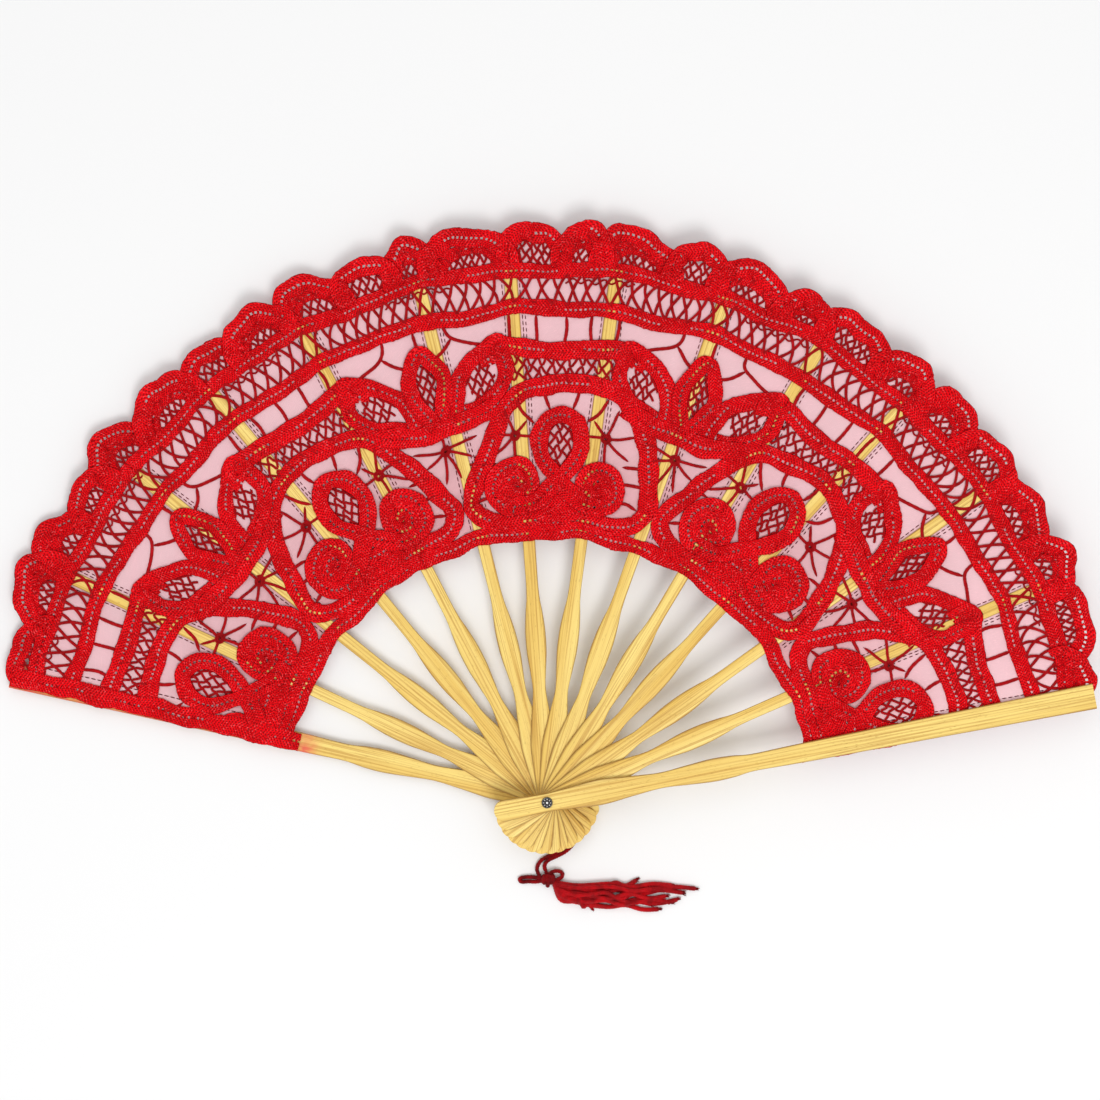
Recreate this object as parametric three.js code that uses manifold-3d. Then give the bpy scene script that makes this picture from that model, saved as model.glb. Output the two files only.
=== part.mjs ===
// A folding hand fan: two bamboo guards and twelve bamboo sticks on one rivet, a pleated lace leaf
// with a sheer lining, and a cord tassel tied to the rivet. It lies open on its back.
// Millimetres. +Z is the rivet's axis, from the surface that the fan lies on towards its front.
// The origin is the middle of the rivet's tail, on that surface. The fan opens towards +Y.
import * as THREE from 'three';
import { mergeVertices } from 'three/addons/utils/BufferGeometryUtils.js';
import Module from 'manifold-3d';

// Spread of the fan: the direction of each stick from the rivet, in degrees from +X, rear guard first.
const SPREAD = [167, 155, 141.5, 129.5, 117.5, 104, 94, 82.5, 70.5, 59, 48, 35.5, 23.5, 11];
const LAST = SPREAD.length - 1;

// Thicknesses and heights
const GUARD_THICKNESS = 1.8;
const STICK_THICKNESS = 0.9;    // head and body of an inner stick
const BLADE_THICKNESS = 0.5;    // the shaved end of an inner stick, in the leaf
const STACK_PITCH = 1.1;        // from one stick to the next along the rivet
const STACK_GAP = STACK_PITCH - STICK_THICKNESS;
const REAR_GUARD_Z = 2.3;       // back face of the rear guard, above the tail and the cord

// Radii from the rivet
const GUARD_TIP = 211;
const STICK_TIP = 204;
const LEAF_INNER = 99;
const LEAF_OUTER = 219;
const LEAF_OUTER_AT_GUARD = 210;
const LEAF_CORNER_DEGREES = 9;  // over which the leaf's edge draws in towards a guard's tip
const THINNING = [80, 94];      // where an inner stick is shaved from full thickness to blade

// Half widths along a stick and a guard: [distance from the rivet, half width]
const HEAD_END = -20.4;
const HEAD_RADIUS = 4.1;
const STICK_WAVE = [
  [-16.3, 4.1], [-10, 3.9], [0, 3.4], [10, 4.1], [21, 4.8], [32, 3.7], [42, 2.5], [50, 3.1],
  [57, 3.8], [65, 3.85], [72, 3.25], [80, 2.4], [100, 2.35], [STICK_TIP, 2.6],
];
const GUARD_WAVE = [
  [-16.3, 4.1], [-10, 3.9], [0, 3.5], [10, 4.2], [21, 4.9], [33, 3.8], [44, 3.0], [54, 3.7],
  [64, 4.4], [72, 4.1], [80, 3.3], [100, 3.7], [150, 4.2], [GUARD_TIP, 4.9],
];

// Rivet
const SHANK_RADIUS = 1.0;
const PIVOT_HOLE_RADIUS = 1.3;
const TAIL_RADIUS = 3.6;
const TAIL_THICKNESS = 0.5;
const ROSETTE_RADIUS = 2.1;
const ROSETTE_HEIGHT = 0.8;
const TOUCHING_GAP = 0.3;

// Leaf
const LACE_THICKNESS = 0.35;
const LINING_THICKNESS = 0.15;
const GLUE_GAP = 0.1;           // between a blade and the cloth on either side of it
const CLOTH_GAP = 0.25;         // between lace and lining, away from the blades
const PLEAT_DEPTH = 1.4;        // of a fold at the outer edge
const PLEAT_DEPTH_INNER = 0.15;
const BLADE_FLAT = 3.0;         // half width of the cloth that lies flat on a blade
const GUARD_FLAT = 5.3;         // and on a guard
const SEAM_HALF_GAP = 0.15;     // between neighbouring panels on a stick's middle line
const LEAF_ON_GUARD = 3.2;      // how far the end panels run past a guard's middle line

// Tassel
const CORD_DIAMETER = 1.5;
const CORD_ROUTE = [
  [-0.4, -28.2, 1.2], [-1.0, -26.6, 1.0], [-0.6, -24.9, 0.9], [0.9, -23.6, 0.85],
  [3.5, -22.4, 0.85], [6.9, -20.6, 0.85], [9.6, -18.1, 0.9], [11.1, -15.1, 1.0],
  [11.0, -11.6, 1.15], [9.3, -7.6, 1.3], [6.8, -4.2, 1.4], [4.5, -1.5, 1.4], [3.1, 1.1, 1.4],
  [1.4, 3.0, 1.4], [-1.1, 3.1, 1.4], [-3.0, 1.4, 1.4], [-3.1, -1.1, 1.4], [-1.4, -3.0, 1.4],
  [1.2, -4.4, 1.4], [4.3, -6.7, 1.35], [7.1, -9.7, 1.2], [8.8, -12.8, 1.0], [8.9, -15.7, 0.9],
  [7.5, -18.3, 0.85], [4.9, -20.2, 0.85], [1.5, -21.8, 0.85], [-1.6, -23.4, 0.9],
  [-3.3, -25.3, 1.0], [-3.9, -27.4, 1.1], [-3.2, -29.4, 1.2],
];
const KNOT_CENTRE = [0.5, -31.0, 2.05];
const KNOT_RADII = [3.4, 2.2, 1.9];
const LEFT_BOW = [
  [-3.3, -31.0, 1.4], [-5.6, -30.4, 1.1], [-8.0, -30.3, 0.9], [-9.9, -30.6, 0.85],
  [-10.3, -31.7, 0.85], [-9.2, -32.6, 0.85], [-7.2, -32.5, 0.95], [-4.6, -32.6, 1.2],
];
const RIGHT_BOW = [
  [1.1, -27.6, 2.2], [2.9, -26.9, 2.0], [4.9, -27.1, 1.7], [6.4, -28.1, 1.5],
  [6.3, -29.5, 1.6], [5.0, -30.1, 2.0],
];
// Skirt of cords: [x, y of the middle, half width, height]
const SKIRT = [
  [2, -35.2, 1.7, 2.4], [6, -34.9, 3.4, 3.6], [14, -36.4, 4.6, 4.6], [26, -36.8, 4.8, 4.8],
  [38, -36.0, 5.8, 4.4], [48, -36.4, 4.6, 3.2], [57, -35.4, 2.2, 1.9],
];
const SURFACE_CLEARANCE = 0.05;

const STEPS_PER_WAVE_SPAN = 2;
const CORD_SIDES = 8;
const BAY_STEPS = 7;
const BLEND = (t) => t * t * (3 - 2 * t);
const clamp01 = (t) => Math.min(Math.max(t, 0), 1);
const mix = (a, b, t) => a + (b - a) * t;

const wasm = await Module();
wasm.setup();

const bamboo = new THREE.MeshStandardMaterial({ color: '#efd071', roughness: 0.55, metalness: 0 });
const guardBamboo = new THREE.MeshStandardMaterial({ color: '#f0d27a', roughness: 0.5, metalness: 0 });
const redLace = new THREE.MeshStandardMaterial({ color: '#d80c1c', roughness: 0.85, metalness: 0 });
const sheerPink = new THREE.MeshStandardMaterial({ color: '#e6c2cb', roughness: 0.7, metalness: 0 });
const crimsonCord = new THREE.MeshStandardMaterial({ color: '#b4001e', roughness: 0.7, metalness: 0 });
const steel = new THREE.MeshStandardMaterial({ color: '#b9b9b4', roughness: 0.35, metalness: 1 });

const fan = new THREE.Group();

function add(name, geometry, material) {
  const mesh = new THREE.Mesh(geometry, material);
  mesh.name = name;
  fan.add(mesh);
}

// A closed plate between a lower and an upper grid of points. place(row, column, side) gives each
// point, side 0 below and 1 above; rows run along the plate and columns to its right.
function plate(rows, columns, place) {
  const positions = [];
  const faces = [];
  const index = (side, i, j) => side * rows * columns + i * columns + j;
  for (const side of [0, 1]) {
    for (let i = 0; i < rows; i++) {
      for (let j = 0; j < columns; j++) positions.push(...place(i, j, side));
    }
  }
  const quad = (a, b, c, d) => faces.push(a, b, c, a, c, d);
  for (let i = 0; i < rows - 1; i++) {
    for (let j = 0; j < columns - 1; j++) {
      quad(index(1, i, j), index(1, i, j + 1), index(1, i + 1, j + 1), index(1, i + 1, j));
      quad(index(0, i, j), index(0, i + 1, j), index(0, i + 1, j + 1), index(0, i, j + 1));
    }
    quad(index(0, i, 0), index(1, i, 0), index(1, i + 1, 0), index(0, i + 1, 0));
    quad(index(0, i, columns - 1), index(0, i + 1, columns - 1),
      index(1, i + 1, columns - 1), index(1, i, columns - 1));
  }
  for (let j = 0; j < columns - 1; j++) {
    quad(index(0, 0, j), index(0, 0, j + 1), index(1, 0, j + 1), index(1, 0, j));
    quad(index(0, rows - 1, j), index(1, rows - 1, j),
      index(1, rows - 1, j + 1), index(0, rows - 1, j + 1));
  }
  const geometry = new THREE.BufferGeometry();
  geometry.setAttribute('position', new THREE.Float32BufferAttribute(positions, 3));
  geometry.setIndex(faces);
  return geometry;
}

function toManifold(geometry) {
  const bare = geometry.clone();
  bare.deleteAttribute('normal');
  bare.deleteAttribute('uv');
  const merged = mergeVertices(bare, 1e-4);
  return new wasm.Manifold(new wasm.Mesh({
    numProp: 3,
    vertProperties: new Float32Array(merged.attributes.position.array),
    triVerts: new Uint32Array(merged.index.array),
  }));
}

function fromManifold(solid) {
  const mesh = solid.getMesh();
  const geometry = new THREE.BufferGeometry();
  geometry.setAttribute('position', new THREE.BufferAttribute(mesh.vertProperties, 3));
  geometry.setIndex(new THREE.BufferAttribute(mesh.triVerts, 1));
  return geometry;
}

// Stations along a stick: the round end of the head as an arc, then a smooth curve through the wave.
function outlineStations(wave) {
  const stations = [];
  for (const degrees of [6, 22, 40, 58, 75]) {
    const a = THREE.MathUtils.degToRad(degrees);
    stations.push([HEAD_END + HEAD_RADIUS * (1 - Math.cos(a)), HEAD_RADIUS * Math.sin(a)]);
  }
  const curve = new THREE.SplineCurve(wave.map(([r, w]) => new THREE.Vector2(r, w)));
  const count = (wave.length - 1) * STEPS_PER_WAVE_SPAN;
  for (let i = 0; i <= count; i++) {
    const point = curve.getPoint(i / count);
    stations.push([point.x, point.y]);
  }
  return stations;
}

function stickSolid(degrees, wave, bottom, thicknessAt) {
  const stations = outlineStations(wave);
  const body = plate(stations.length, 2, (i, j, side) => {
    const [r, w] = stations[i];
    const across = j === 0 ? w : -w;
    return [r, across, bottom + side * thicknessAt(r)];
  });
  const drill = new THREE.CylinderGeometry(PIVOT_HOLE_RADIUS, PIVOT_HOLE_RADIUS, 8, 16);
  drill.rotateX(Math.PI / 2);
  drill.translate(0, 0, bottom);
  const drilled = fromManifold(toManifold(body).subtract(toManifold(drill)));
  drilled.rotateZ(THREE.MathUtils.degToRad(degrees));
  return drilled;
}

// Height of the back face of stick k; 0 is the rear guard and LAST the front guard.
function stickBottom(k) {
  return k === 0 ? REAR_GUARD_Z : REAR_GUARD_Z + GUARD_THICKNESS + STACK_GAP + (k - 1) * STACK_PITCH;
}

function stickThickness(r) {
  const shaved = BLEND(clamp01((r - THINNING[0]) / (THINNING[1] - THINNING[0])));
  return mix(STICK_THICKNESS, BLADE_THICKNESS, shaved);
}

function stickName(k) {
  return `stick_${String(k).padStart(2, '0')}`;
}

add('rear_guard', stickSolid(SPREAD[0], GUARD_WAVE, stickBottom(0), () => GUARD_THICKNESS), guardBamboo);
for (let k = 1; k < LAST; k++) {
  add(stickName(k), stickSolid(SPREAD[k], STICK_WAVE, stickBottom(k), stickThickness), bamboo);
}
add('front_guard', stickSolid(SPREAD[LAST], GUARD_WAVE, stickBottom(LAST), () => GUARD_THICKNESS),
  guardBamboo);

// Rivet: a pin with a flat tail below the rear guard, and a rosette on its upper end.
const frontFace = stickBottom(LAST) + GUARD_THICKNESS;
const pinProfile = [
  [0, 0], [TAIL_RADIUS - 0.15, 0], [TAIL_RADIUS, 0.15], [TAIL_RADIUS, TAIL_THICKNESS],
  [SHANK_RADIUS, TAIL_THICKNESS], [SHANK_RADIUS, frontFace], [0, frontFace],
];
const rosetteProfile = [
  [0, 0], [ROSETTE_RADIUS, 0], [ROSETTE_RADIUS, 0.35 * ROSETTE_HEIGHT],
  [0.88 * ROSETTE_RADIUS, 0.8 * ROSETTE_HEIGHT], [0.7 * ROSETTE_RADIUS, ROSETTE_HEIGHT],
  [0.45 * ROSETTE_RADIUS, 0.8 * ROSETTE_HEIGHT], [0.2 * ROSETTE_RADIUS, ROSETTE_HEIGHT],
  [0, ROSETTE_HEIGHT],
];

function turned(profile, z) {
  const geometry = new THREE.LatheGeometry(profile.map(([r, h]) => new THREE.Vector2(r, h)), 24);
  geometry.rotateX(Math.PI / 2);
  geometry.translate(0, 0, z);
  return geometry;
}

add('rivet_pin', turned(pinProfile, 0), steel);
add('rivet_rosette', turned(rosetteProfile, frontFace + TOUCHING_GAP), steel);

// Leaf: one lace panel and one lining panel in each bay, from stick k - 1 to stick k.
// Heights at which the cloth lies on a stick: lace over the blades, lining under them. At the rear
// guard both lie on its front face, and at the front guard both are tucked behind it.
function laceSeat(k) {
  if (k === 0) return stickBottom(0) + GUARD_THICKNESS + 2 * GLUE_GAP + LINING_THICKNESS;
  if (k === LAST) return stickBottom(LAST) - GLUE_GAP - LACE_THICKNESS;
  return stickBottom(k) + BLADE_THICKNESS + GLUE_GAP;
}

function liningSeat(k) {
  if (k === 0) return stickBottom(0) + GUARD_THICKNESS + GLUE_GAP;
  if (k === LAST) return laceSeat(LAST) - GLUE_GAP - LINING_THICKNESS;
  return stickBottom(k) - GLUE_GAP - LINING_THICKNESS;
}

// A soft zigzag that goes 0, 1, 0, -1, 0 as t goes from 0 to 1.
function foldWave(t) {
  return Math.asin(0.95 * Math.sin(2 * Math.PI * t)) / Math.asin(0.95);
}

// The two angles between which the cloth of bay k is free, at radius r: it lies flat on its sticks.
function freeSpan(k, r) {
  const before = k === 1 ? GUARD_FLAT : BLADE_FLAT;
  const after = k === LAST ? GUARD_FLAT : BLADE_FLAT;
  return [SPREAD[k - 1] - THREE.MathUtils.radToDeg(before / r),
    SPREAD[k] + THREE.MathUtils.radToDeg(after / r)];
}

function bayFraction(k, r, degrees) {
  const [from, to] = freeSpan(k, r);
  return clamp01((from - degrees) / (from - to));
}

// Depth of the pleat: a valley fold after the first stick and a ridge fold before the second.

function pleat(k, r, degrees) {
  const along = clamp01((r - LEAF_INNER) / (LEAF_OUTER - LEAF_INNER));
  return mix(PLEAT_DEPTH_INNER, PLEAT_DEPTH, along) * foldWave(bayFraction(k, r, degrees));
}

function laceHeight(k, r, degrees) {
  return mix(laceSeat(k - 1), laceSeat(k), BLEND(bayFraction(k, r, degrees))) - pleat(k, r, degrees);
}

function liningHeight(k, r, degrees) {
  const t = bayFraction(k, r, degrees);
  const onSticks = mix(liningSeat(k - 1), liningSeat(k), BLEND(t));
  const underLace = laceHeight(k, r, degrees) - CLOTH_GAP - LINING_THICKNESS;
  const away = BLEND(clamp01(4 * t)) * BLEND(clamp01(4 - 4 * t));
  return mix(onSticks - pleat(k, r, degrees), underLace, away);
}

// Angles across a bay: dense over the folds, from one seam to the next. The first panel runs on to
// the outer edge of the rear guard, and the last one to the outer edge of the front guard.
function bayAngles(k, r) {
  const toDegrees = (distance) => THREE.MathUtils.radToDeg(distance / r);
  const [from, to] = freeSpan(k, r);
  const angles = [SPREAD[k - 1] + toDegrees(k === 1 ? LEAF_ON_GUARD : -SEAM_HALF_GAP)];
  for (let n = 0; n <= BAY_STEPS; n++) angles.push(mix(from, to, n / BAY_STEPS));
  angles.push(SPREAD[k] + toDegrees(k === LAST ? -LEAF_ON_GUARD : SEAM_HALF_GAP));
  return angles;
}

function leafEdge(degrees) {
  const toGuard = Math.min(SPREAD[0] - degrees, degrees - SPREAD[LAST]);
  return mix(LEAF_OUTER_AT_GUARD, LEAF_OUTER, BLEND(clamp01(toGuard / LEAF_CORNER_DEGREES)));
}

function panelSolid(k, heightAt, thickness) {
  const rows = 6;
  const columns = BAY_STEPS + 3;
  return plate(rows, columns, (i, j, side) => {
    const edge = leafEdge(bayAngles(k, LEAF_OUTER)[j]);
    const r = mix(LEAF_INNER, edge, i / (rows - 1));
    const degrees = bayAngles(k, r)[j];
    const a = THREE.MathUtils.degToRad(degrees);
    return [r * Math.cos(a), r * Math.sin(a), heightAt(k, r, degrees) + side * thickness];
  });
}

for (let k = 1; k <= LAST; k++) {
  const number = String(k).padStart(2, '0');
  add(`lace_${number}`, panelSolid(k, laceHeight, LACE_THICKNESS), redLace);
  add(`lining_${number}`, panelSolid(k, liningHeight, LINING_THICKNESS), sheerPink);
}

// Tassel
function tube(route, steps) {
  const curve = new THREE.CatmullRomCurve3(route.map((p) => new THREE.Vector3(...p)));
  const section = new THREE.Shape();
  section.absarc(0, 0, CORD_DIAMETER / 2, 0, 2 * Math.PI);
  return new THREE.ExtrudeGeometry(section, {
    steps, extrudePath: curve, curveSegments: CORD_SIDES, bevelEnabled: false,
  });
}

add('tassel_cord', tube(CORD_ROUTE, 44), crimsonCord);
add('tassel_bow_left', tube(LEFT_BOW, 12), crimsonCord);
add('tassel_bow_right', tube(RIGHT_BOW, 12), crimsonCord);

const knot = new THREE.SphereGeometry(1, 16, 12);
knot.scale(...KNOT_RADII);
knot.translate(...KNOT_CENTRE);
add('tassel_knot', knot, crimsonCord);

const SKIRT_COLUMNS = [-1, -0.6, 0, 0.6, 1];
add('tassel_skirt', plate(SKIRT.length, SKIRT_COLUMNS.length, (i, j, side) => {
  const [x, y, halfWidth, height] = SKIRT[i];
  const across = SKIRT_COLUMNS[j];
  const crown = 1 - 0.55 * across * across;
  return [x, y - across * halfWidth, side ? height * crown : SURFACE_CLEARANCE];
}), crimsonCord);

export default fan;
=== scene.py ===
import bmesh
import bpy
import numpy as np
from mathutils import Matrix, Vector


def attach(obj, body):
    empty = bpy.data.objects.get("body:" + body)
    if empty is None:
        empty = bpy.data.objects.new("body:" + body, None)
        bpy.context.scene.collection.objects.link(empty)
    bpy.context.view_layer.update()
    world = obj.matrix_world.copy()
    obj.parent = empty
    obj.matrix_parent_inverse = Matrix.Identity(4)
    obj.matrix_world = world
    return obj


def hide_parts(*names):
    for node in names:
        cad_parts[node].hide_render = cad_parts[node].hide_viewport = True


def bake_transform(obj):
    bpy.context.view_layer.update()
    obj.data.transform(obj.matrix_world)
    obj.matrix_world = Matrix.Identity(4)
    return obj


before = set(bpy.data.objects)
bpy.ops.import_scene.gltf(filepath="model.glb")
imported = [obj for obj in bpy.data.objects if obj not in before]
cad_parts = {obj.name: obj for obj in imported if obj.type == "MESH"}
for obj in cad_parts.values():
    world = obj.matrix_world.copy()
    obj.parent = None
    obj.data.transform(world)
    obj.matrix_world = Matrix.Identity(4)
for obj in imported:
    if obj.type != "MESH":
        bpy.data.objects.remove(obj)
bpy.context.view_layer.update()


# ---- Camera, table and lamps -----------------------------------------------------------------
# The open fan lies on its back on a plain white table. The camera hangs straight above the leaf's
# middle. One lamp hangs at the near side and a broad one overhead, in an evenly lit white room.

CAMERA_HEIGHT = 1.062
VIEW_MIDDLE = (0.0011, 0.0956)
FRAME_WIDTH_AT_LACE = 0.4191
HEIGHT_IN_FOCUS = 0.012
TABLE_HALF_WIDTH = 6.0
TABLE_WHITE = (0.86, 0.86, 0.86, 1)
ROOM_LIGHT = 0.62

view = bpy.data.cameras.new("overhead")
view.sensor_width = 36
view.lens = view.sensor_width * (CAMERA_HEIGHT - HEIGHT_IN_FOCUS) / FRAME_WIDTH_AT_LACE
view.clip_start = 0.01
camera = bpy.data.objects.new("overhead", view)
camera.location = (*VIEW_MIDDLE, CAMERA_HEIGHT)
bpy.context.scene.collection.objects.link(camera)
bpy.context.scene.camera = camera
bpy.context.scene.view_settings.view_transform = "Standard"


class Wire:
    """A socket in a material. Sums on it add Math nodes, and node() adds any other node."""

    def __init__(self, tree, socket=None):
        self.tree = tree
        self.socket = socket

    def node(self, kind, inputs=None, settings=None, output=0):
        """Adds a node: its settings first, then its sockets, each a Wire to link or a value."""
        made = self.tree.nodes.new("ShaderNode" + kind)
        for setting, value in (settings or {}).items():
            if setting == "stops":
                for stop, (place, colour) in zip(made.color_ramp.elements, value):
                    stop.position, stop.color = place, colour
            else:
                setattr(made, setting, value)
        for key, value in (inputs or {}).items():
            if isinstance(value, Wire):
                self.tree.links.new(value.socket, made.inputs[key])
            else:
                made.inputs[key].default_value = value
        return Wire(self.tree, made.outputs[output])

    def math(self, operation, *others):
        return self.node("Math", dict(enumerate(others)), {"operation": operation})

    def tint(self, low, high):
        """A colour that goes from low to high as this value goes from 0 to 1."""
        mixed = {"data_type": "RGBA", "clamp_factor": True}
        return self.node("Mix", {0: self, 6: low, 7: high}, mixed, 2)

    def stretched(self, x, y, z=1.0):
        """These coordinates, each times its own factor."""
        return self.node("VectorMath", {0: self, 1: (x, y, z)}, {"operation": "MULTIPLY"})

    def noise(self, scale, detail=2.0):
        return self.node("TexNoise", {"Vector": self, "Scale": scale, "Detail": detail})

    def parts(self):
        """The first two numbers of these coordinates, each as a Wire of its own."""
        split = self.node("SeparateXYZ", {0: self}).socket.node
        return Wire(self.tree, split.outputs[0]), Wire(self.tree, split.outputs[1])

    def wave(self):
        """A sine of this value, moved to go from 0 to 1."""
        return self.math("SINE", self) * 0.5 + 0.5

    def between(self, low, high):
        """0 below the low value and 1 above the high one, with a soft step from one to the other."""
        steps = {"interpolation_type": "SMOOTHSTEP"}
        return self.node("MapRange", {"Value": self, "From Min": low, "From Max": high}, steps)

    def __add__(self, other):
        return self.math("ADD", self, other)

    def __radd__(self, other):
        return self.math("ADD", other, self)

    def __sub__(self, other):
        return self.math("SUBTRACT", self, other)

    def __rsub__(self, other):
        return self.math("SUBTRACT", other, self)

    def __mul__(self, other):
        return self.math("MULTIPLY", self, other)

    def __rmul__(self, other):
        return self.math("MULTIPLY", other, self)


def dye(red, green, blue):
    """A colour as mixed on a 0 to 255 scale, made linear: ((c + 0.055) / 1.055) to the power 2.4."""
    share = np.array([red, green, blue]) / 255
    linear = np.where(share < 0.04045, share / 12.92, ((share + 0.055) / 1.055) ** 2.4)
    return (*linear.tolist(), 1.0)


def new_finish(name, **constants):
    """A material, a Wire to start its nodes from, and its shader with these constants set."""
    material = bpy.data.materials.new(name)
    material.use_nodes = True
    shader = material.node_tree.nodes["Principled BSDF"]
    for socket, value in constants.items():
        shader.inputs[socket.replace("_", " ")].default_value = value
    return material, Wire(material.node_tree), shader


def feed(shader, **wires):
    """Links each wire to the shader's socket of that name."""
    for socket, wire in wires.items():
        wire.tree.links.new(wire.socket, shader.inputs[socket.replace("_", " ")])


def bump(height, depth):
    """A Normal from a height that goes from 0 to 1, over this depth in metres."""
    return height.node("Bump", {"Height": height, "Distance": depth, "Strength": 1.0})


table_mesh = bpy.data.meshes.new("table")
table_corners = np.array([(-1, -1, 0), (1, -1, 0), (1, 1, 0), (-1, 1, 0)]) * TABLE_HALF_WIDTH
table_mesh.from_pydata(table_corners.tolist(), [], [(0, 1, 2, 3)])
table = bpy.data.objects.new("table", table_mesh)
bpy.context.scene.collection.objects.link(table)
table_paint, _, table_shader = new_finish("table_paint", Roughness=0.75)
table_shader.inputs["Base Color"].default_value = TABLE_WHITE
table_mesh.materials.append(table_paint)


def hang_lamp(name, place, width, watts):
    """A square lamp of that width, in metres, turned towards the middle of the leaf."""
    lamp_data = bpy.data.lights.new(name, "AREA")
    lamp_data.size = width
    lamp_data.energy = watts
    lamp = bpy.data.objects.new(name, lamp_data)
    lamp.location = place
    towards = Vector((*VIEW_MIDDLE, 0)) - Vector(place)
    lamp.rotation_euler = towards.to_track_quat("-Z", "Y").to_euler()
    bpy.context.scene.collection.objects.link(lamp)


hang_lamp("near_lamp", (0.3, -0.7, 1.7), 0.7, 15)
hang_lamp("ceiling_lamp", (-0.4, 0.5, 2.2), 2.4, 12)
sky = bpy.data.worlds.new("soft_room")
sky.use_nodes = True
sky.node_tree.nodes["Background"].inputs["Color"].default_value = (1, 1, 1, 1)
sky.node_tree.nodes["Background"].inputs["Strength"].default_value = ROOM_LIGHT
bpy.context.scene.world = sky


# ---- The tassel's cord -----------------------------------------------------------------------
# A crimson viscose cord of three plies. Its loop lies round the rivet's shank, behind the rear
# guard, and both its ends run out past the heads, side by side, into the knot.

CORD_DIAMETER = 1.5
CORD_PLIES = 3
CORD_LAY = 3.4
CORD_SIDES = 14
CORD_STEP = 0.35
CORD_ROUTE = [
    [-0.4, -28.2, 1.2], [-1.0, -26.6, 1.0], [-0.6, -24.9, 0.9], [0.9, -23.6, 0.85],
    [3.5, -22.4, 0.85], [6.9, -20.6, 0.85], [9.6, -18.1, 0.9], [11.1, -15.1, 1.0],
    [11.0, -11.6, 1.15], [9.3, -7.6, 1.3], [6.8, -4.2, 1.4], [4.5, -1.5, 1.4], [3.1, 1.1, 1.4],
    [1.4, 3.0, 1.4], [-1.1, 3.1, 1.4], [-3.0, 1.4, 1.4], [-3.1, -1.1, 1.4], [-1.4, -3.0, 1.4],
    [1.2, -4.4, 1.4], [4.3, -6.7, 1.35], [7.1, -9.7, 1.2], [8.8, -12.8, 1.0], [8.9, -15.7, 0.9],
    [7.5, -18.3, 0.85], [4.9, -20.2, 0.85], [1.5, -21.8, 0.85], [-1.6, -23.4, 0.9],
    [-3.3, -25.3, 1.0], [-3.9, -27.4, 1.1], [-3.2, -29.4, 1.2],
]
MM = 0.001


def flow(points, step):
    """A smooth curve through the points, cut into equal steps: between two points it is the cubic
    whose slope at each one is half of the way from the point before it to the point after it."""
    points = np.asarray(points, float)
    first, last = 2 * points[0] - points[1], 2 * points[-1] - points[-2]
    ends = np.concatenate([[first], points, [last]])
    before, here, after, beyond = (ends[n:len(ends) - 3 + n, None] for n in range(4))
    t = np.linspace(0, 1, 24, endpoint=False)[:, None]
    curve = here + (after - before) * t / 2
    curve = curve + (2 * before - 5 * here + 4 * after - beyond) * t**2 / 2
    curve = curve + (3 * here - before - 3 * after + beyond) * t**3 / 2
    curve = np.concatenate([curve.reshape(-1, points.shape[1]), points[-1:]])
    gone = np.concatenate([[0], np.cumsum(np.linalg.norm(np.diff(curve, axis=0), axis=1))])
    count = max(round(gone[-1] / step), 3)
    even = np.linspace(0, gone[-1], count + 1)
    return np.stack([np.interp(even, gone, column) for column in curve.T], -1)


def unit(vectors):
    """Each vector divided by its length."""
    return vectors / np.maximum(np.linalg.norm(vectors, axis=-1, keepdims=True), 1e-9)


def distance_along(path):
    """How far each point of a path is from its start, by straight steps."""
    steps = np.linalg.norm(np.diff(path, axis=-2), axis=-1)
    return np.concatenate([np.zeros_like(steps[..., :1]), np.cumsum(steps, -1)], -1)


def weave(points, along, across, closed=False):
    """Quads between each point of rows x columns, the next along and the next across. Leading axes
    hold separate grids. A closed one also joins its last column to its first. Gives the points,
    the quads and a UV for each corner."""
    rows, columns = points.shape[-3:-1]
    flat = points.reshape(-1, rows, columns, 3)
    i, j = np.meshgrid(np.arange(rows - 1), np.arange(columns - 1 + closed), indexing="ij")
    i, j = i.ravel(), j.ravel()
    turns = [(0, 0), (0, 1), (1, 1), (1, 0)]
    corners = np.stack([(i + down) * columns + (j + over) % columns for down, over in turns], -1)
    quads = np.arange(len(flat))[:, None, None] * rows * columns + corners
    shape = (len(flat), rows, columns + closed)
    u, v = np.broadcast_to(along, shape), np.broadcast_to(across, shape)
    uvs = [np.stack([u[:, i + down, j + over], v[:, i + down, j + over]], -1) for down, over in turns]
    return flat.reshape(-1, 3), quads.reshape(-1, 4), np.stack(uvs, -2).reshape(-1, 4, 2)


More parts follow.
